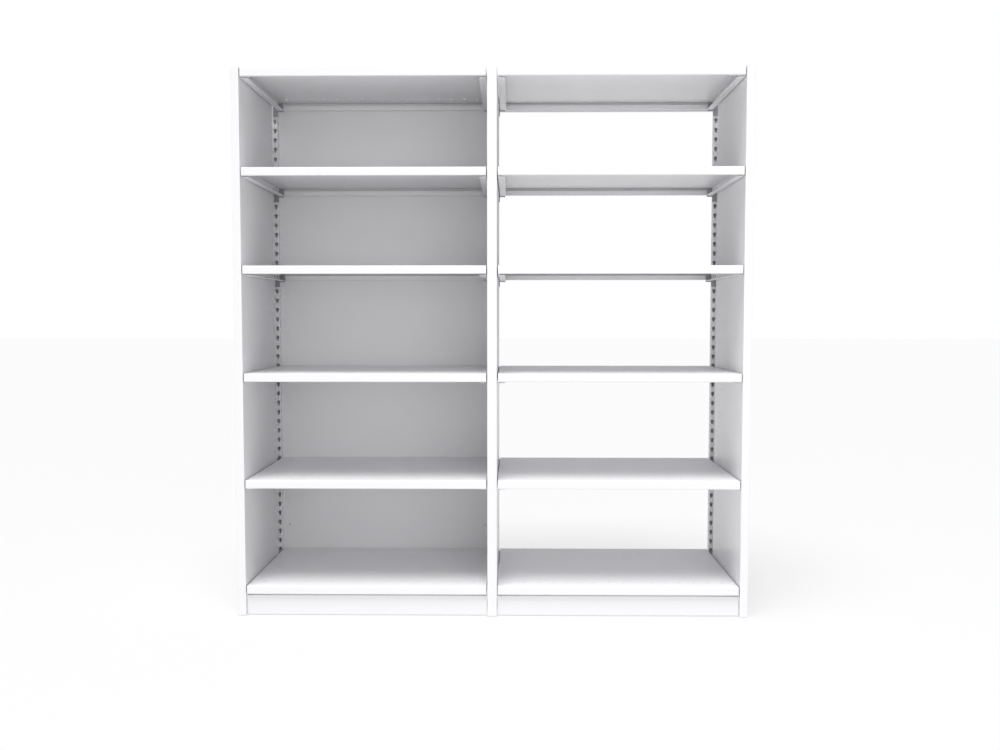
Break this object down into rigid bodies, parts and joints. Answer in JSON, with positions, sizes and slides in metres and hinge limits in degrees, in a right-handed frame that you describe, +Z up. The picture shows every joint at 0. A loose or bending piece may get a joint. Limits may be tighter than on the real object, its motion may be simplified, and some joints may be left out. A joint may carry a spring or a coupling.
{
  "type": "shelving unit",
  "caption": "Two-bay white shelving unit: board panels, slotted rear posts, and lift-off steel shelves on hooked brackets, one bay with a back panel.",
  "frame": {"origin": "on the floor, under the middle of the unit", "axes": "+Z up, +X to the right seen from the front, +Y to the rear"},
  "size_m": [1.822, 0.613, 1.939],
  "materials": {
    "white_laminate": "white laminate on board, with a matching edge band",
    "white_powder_coat": "white powder coat with a fine orange-peel texture",
    "dark_steel": "dark grey zinc-nickel plate",
    "zinc_steel": "bright zinc plate",
    "cap_plastic": "moulded white plastic",
    "glide_nylon": "natural nylon",
    "magnet_black": "black moulded magnet holder"
  },
  "bodies": {
    "frame": {"left_panel": "white_laminate", "left_post": "white_powder_coat", "centre_panel": "white_laminate", "centre_post": "white_powder_coat", "right_panel": "white_laminate", "right_post": "white_powder_coat", "post_caps": "cap_plastic", "floor_glides": "glide_nylon", "panel_screws": "zinc_steel", "kick_angles": "white_powder_coat", "left_back_panel": "white_powder_coat", "back_stiffeners": "white_powder_coat", "back_panel_screws": "zinc_steel", "bottom_tie_rail": "white_powder_coat", "top_tie_rail": "white_powder_coat", "rail_bolts": "zinc_steel", "rail_washers": "zinc_steel", "rail_nuts": "zinc_steel"},
    "left_carrier_1": {"left_brackets_1": "white_powder_coat", "left_hook_plates_1": "dark_steel"},
    "left_tray_1": {"left_shelf_1": "white_powder_coat"},
    "left_carrier_2": {"left_brackets_2": "white_powder_coat", "left_hook_plates_2": "dark_steel"},
    "left_tray_2": {"left_shelf_2": "white_powder_coat"},
    "left_carrier_3": {"left_brackets_3": "white_powder_coat", "left_hook_plates_3": "dark_steel"},
    "left_tray_3": {"left_shelf_3": "white_powder_coat"},
    "left_carrier_4": {"left_brackets_4": "white_powder_coat", "left_hook_plates_4": "dark_steel"},
    "left_tray_4": {"left_shelf_4": "white_powder_coat"},
    "left_carrier_5": {"left_brackets_5": "white_powder_coat", "left_hook_plates_5": "dark_steel"},
    "left_tray_5": {"left_shelf_5": "white_powder_coat"},
    "left_carrier_6": {"left_brackets_6": "white_powder_coat", "left_hook_plates_6": "dark_steel"},
    "left_tray_6": {"left_shelf_6": "white_powder_coat"},
    "left_kick": {"left_kick_panel": "white_powder_coat", "left_kick_magnets": "magnet_black"},
    "right_carrier_1": {"right_brackets_1": "white_powder_coat", "right_hook_plates_1": "dark_steel"},
    "right_tray_1": {"right_shelf_1": "white_powder_coat"},
    "right_carrier_2": {"right_brackets_2": "white_powder_coat", "right_hook_plates_2": "dark_steel"},
    "right_tray_2": {"right_shelf_2": "white_powder_coat"},
    "right_carrier_3": {"right_brackets_3": "white_powder_coat", "right_hook_plates_3": "dark_steel"},
    "right_tray_3": {"right_shelf_3": "white_powder_coat"},
    "right_carrier_4": {"right_brackets_4": "white_powder_coat", "right_hook_plates_4": "dark_steel"},
    "right_tray_4": {"right_shelf_4": "white_powder_coat"},
    "right_carrier_5": {"right_brackets_5": "white_powder_coat", "right_hook_plates_5": "dark_steel"},
    "right_tray_5": {"right_shelf_5": "white_powder_coat"},
    "right_carrier_6": {"right_brackets_6": "white_powder_coat", "right_hook_plates_6": "dark_steel"},
    "right_tray_6": {"right_shelf_6": "white_powder_coat"},
    "right_kick": {"right_kick_panel": "white_powder_coat", "right_kick_magnets": "magnet_black"}
  },
  "joints": [
    {"name": "left_brackets_1_unhook", "type": "slide", "parent": "frame", "child": "left_carrier_1", "axis": [0, 0, 1], "range_m": [0, 0.0085]},
    {"name": "left_shelf_1_lift", "type": "slide", "parent": "left_carrier_1", "child": "left_tray_1", "axis": [0, 0, 1], "range_m": [0, 0.04]},
    {"name": "left_brackets_2_unhook", "type": "slide", "parent": "frame", "child": "left_carrier_2", "axis": [0, 0, 1], "range_m": [0, 0.0085]},
    {"name": "left_shelf_2_lift", "type": "slide", "parent": "left_carrier_2", "child": "left_tray_2", "axis": [0, 0, 1], "range_m": [0, 0.04]},
    {"name": "left_brackets_3_unhook", "type": "slide", "parent": "frame", "child": "left_carrier_3", "axis": [0, 0, 1], "range_m": [0, 0.0085]},
    {"name": "left_shelf_3_lift", "type": "slide", "parent": "left_carrier_3", "child": "left_tray_3", "axis": [0, 0, 1], "range_m": [0, 0.04]},
    {"name": "left_brackets_4_unhook", "type": "slide", "parent": "frame", "child": "left_carrier_4", "axis": [0, 0, 1], "range_m": [0, 0.0085]},
    {"name": "left_shelf_4_lift", "type": "slide", "parent": "left_carrier_4", "child": "left_tray_4", "axis": [0, 0, 1], "range_m": [0, 0.04]},
    {"name": "left_brackets_5_unhook", "type": "slide", "parent": "frame", "child": "left_carrier_5", "axis": [0, 0, 1], "range_m": [0, 0.0085]},
    {"name": "left_shelf_5_lift", "type": "slide", "parent": "left_carrier_5", "child": "left_tray_5", "axis": [0, 0, 1], "range_m": [0, 0.04]},
    {"name": "left_brackets_6_unhook", "type": "slide", "parent": "frame", "child": "left_carrier_6", "axis": [0, 0, 1], "range_m": [0, 0.0085]},
    {"name": "left_shelf_6_lift", "type": "slide", "parent": "left_carrier_6", "child": "left_tray_6", "axis": [0, 0, 1], "range_m": [0, 0.04]},
    {"name": "left_kick_pull", "type": "slide", "parent": "frame", "child": "left_kick", "axis": [0, -1, 0], "range_m": [0, 0.03]},
    {"name": "right_brackets_1_unhook", "type": "slide", "parent": "frame", "child": "right_carrier_1", "axis": [0, 0, 1], "range_m": [0, 0.0085]},
    {"name": "right_shelf_1_lift", "type": "slide", "parent": "right_carrier_1", "child": "right_tray_1", "axis": [0, 0, 1], "range_m": [0, 0.04]},
    {"name": "right_brackets_2_unhook", "type": "slide", "parent": "frame", "child": "right_carrier_2", "axis": [0, 0, 1], "range_m": [0, 0.0085]},
    {"name": "right_shelf_2_lift", "type": "slide", "parent": "right_carrier_2", "child": "right_tray_2", "axis": [0, 0, 1], "range_m": [0, 0.04]},
    {"name": "right_brackets_3_unhook", "type": "slide", "parent": "frame", "child": "right_carrier_3", "axis": [0, 0, 1], "range_m": [0, 0.0085]},
    {"name": "right_shelf_3_lift", "type": "slide", "parent": "right_carrier_3", "child": "right_tray_3", "axis": [0, 0, 1], "range_m": [0, 0.04]},
    {"name": "right_brackets_4_unhook", "type": "slide", "parent": "frame", "child": "right_carrier_4", "axis": [0, 0, 1], "range_m": [0, 0.0085]},
    {"name": "right_shelf_4_lift", "type": "slide", "parent": "right_carrier_4", "child": "right_tray_4", "axis": [0, 0, 1], "range_m": [0, 0.04]},
    {"name": "right_brackets_5_unhook", "type": "slide", "parent": "frame", "child": "right_carrier_5", "axis": [0, 0, 1], "range_m": [0, 0.0085]},
    {"name": "right_shelf_5_lift", "type": "slide", "parent": "right_carrier_5", "child": "right_tray_5", "axis": [0, 0, 1], "range_m": [0, 0.04]},
    {"name": "right_brackets_6_unhook", "type": "slide", "parent": "frame", "child": "right_carrier_6", "axis": [0, 0, 1], "range_m": [0, 0.0085]},
    {"name": "right_shelf_6_lift", "type": "slide", "parent": "right_carrier_6", "child": "right_tray_6", "axis": [0, 0, 1], "range_m": [0, 0.04]},
    {"name": "right_kick_pull", "type": "slide", "parent": "frame", "child": "right_kick", "axis": [0, -1, 0], "range_m": [0, 0.03]}
  ]
}
